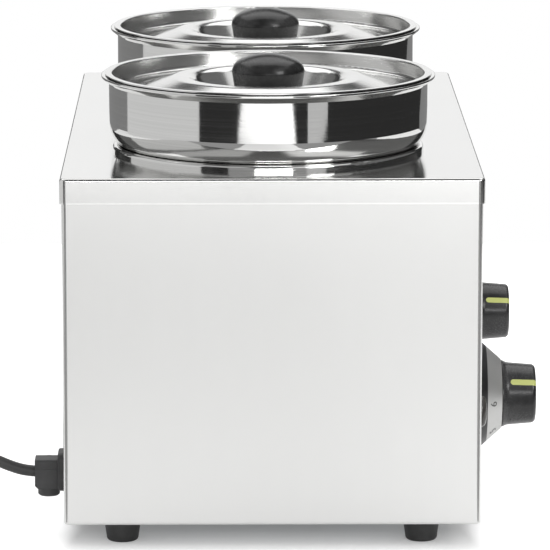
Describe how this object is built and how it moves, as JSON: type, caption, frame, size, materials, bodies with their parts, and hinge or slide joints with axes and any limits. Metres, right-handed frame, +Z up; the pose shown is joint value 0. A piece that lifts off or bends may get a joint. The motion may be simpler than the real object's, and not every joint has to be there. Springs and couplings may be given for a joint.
{
  "type": "soup warmer",
  "caption": "Countertop wet-heat soup warmer: sheet-steel housing with round wells, lift-out pots, sunken lids with knobs, thermostat dials, lamps, heating rings and mains cord.",
  "frame": {"origin": "on the floor, under the middle of the object's length and of its depth from the dial faces to the cord grip", "axes": "+X along the housing's long side, away from the end where the cord leaves; the dials face -Y; +Z up"},
  "size_m": [0.5, 0.5234, 0.3068],
  "materials": {
    "base_steel": "zinc-coated sheet",
    "bulb_copper": "bright copper",
    "ceramic": "off-white ceramic",
    "control_plastic": "satin black plastic",
    "cord_rubber": "matte black rubber sheath",
    "element_sheath": "dark heat-tinted sheath",
    "foot_rubber": "matte rubber",
    "gland_plastic": "dark glass-filled plastic",
    "holder_plastic": "moulded plastic",
    "housing_steel": "satin stainless sheet",
    "knob_plastic": "fine matte heat-resistant plastic",
    "lamp_plastic": "dark clear lens",
    "plated_metal": "bright zinc or nickel plating",
    "plug_rubber": "matte black rubber",
    "pointer_plastic": "bright yellow-green inlay",
    "pressed_steel": "polished stainless pressing",
    "scale_metal": "satin silver"
  },
  "bodies": {
    "housing": {"base_plate": "base_steel", "base_screws": "plated_metal", "bezel_1": "control_plastic", "bezel_2": "control_plastic", "body_shell": "housing_steel", "bulb_clips": "plated_metal", "clamp_bar_1": "plated_metal", "clamp_bar_2": "plated_metal", "clamp_bolts": "plated_metal", "cord_coil": "cord_rubber", "cord_run": "cord_rubber", "earth_stud": "plated_metal", "foot_1": "foot_rubber", "foot_2": "foot_rubber", "foot_3": "foot_rubber", "foot_4": "foot_rubber", "foot_screws": "plated_metal", "gland_body": "gland_plastic", "gland_cap": "gland_plastic", "gland_nut": "gland_plastic", "gland_screws": "plated_metal", "heater_1": "element_sheath", "heater_2": "element_sheath", "lamp_body_1": "holder_plastic", "lamp_body_2": "holder_plastic", "lamp_lens_1": "lamp_plastic", "lamp_lens_2": "lamp_plastic", "lamp_nuts": "plated_metal", "panel_screws": "plated_metal", "plug_body": "plug_rubber", "plug_pins": "plated_metal", "scale_ring_1": "scale_metal", "scale_ring_2": "scale_metal", "sensor_bulb_1": "bulb_copper", "sensor_bulb_2": "bulb_copper", "supply_cable": "cord_rubber", "terminal_block": "ceramic", "terminal_screws": "plated_metal", "thermal_cutout_1": "ceramic", "thermal_cutout_2": "ceramic", "thermostat_1": "holder_plastic", "thermostat_2": "holder_plastic", "top_cover": "housing_steel", "well_1": "pressed_steel", "well_2": "pressed_steel"},
    "pot_1": {"pot_1": "pressed_steel"},
    "pot_2": {"pot_2": "pressed_steel"},
    "lid_1": {"lid_1": "pressed_steel", "lid_knob_1": "knob_plastic", "lid_screw_1": "plated_metal"},
    "lid_2": {"lid_2": "pressed_steel", "lid_knob_2": "knob_plastic", "lid_screw_2": "plated_metal"},
    "dial_1": {"dial_1": "control_plastic", "dial_pointer_1": "pointer_plastic", "spindle_1": "plated_metal"},
    "dial_2": {"dial_2": "control_plastic", "dial_pointer_2": "pointer_plastic", "spindle_2": "plated_metal"}
  },
  "joints": [
    {"name": "pot_1_lift", "type": "slide", "parent": "housing", "child": "pot_1", "axis": [0, 0, 1], "range_m": [0, 0.2]},
    {"name": "lid_1_lift", "type": "slide", "parent": "pot_1", "child": "lid_1", "axis": [0, 0, 1], "range_m": [0, 0.1]},
    {"name": "pot_2_lift", "type": "slide", "parent": "housing", "child": "pot_2", "axis": [0, 0, 1], "range_m": [0, 0.2]},
    {"name": "lid_2_lift", "type": "slide", "parent": "pot_2", "child": "lid_2", "axis": [0, 0, 1], "range_m": [0, 0.1]},
    {"name": "dial_1_turn", "type": "hinge", "parent": "housing", "child": "dial_1", "pos_m": [-0.1465, -0.12345, 0.0828], "axis": [0, 1, 0], "range_deg": [0, 324]},
    {"name": "dial_2_turn", "type": "hinge", "parent": "housing", "child": "dial_2", "pos_m": [0.1465, -0.12345, 0.0828], "axis": [0, 1, 0], "range_deg": [0, 324]}
  ]
}
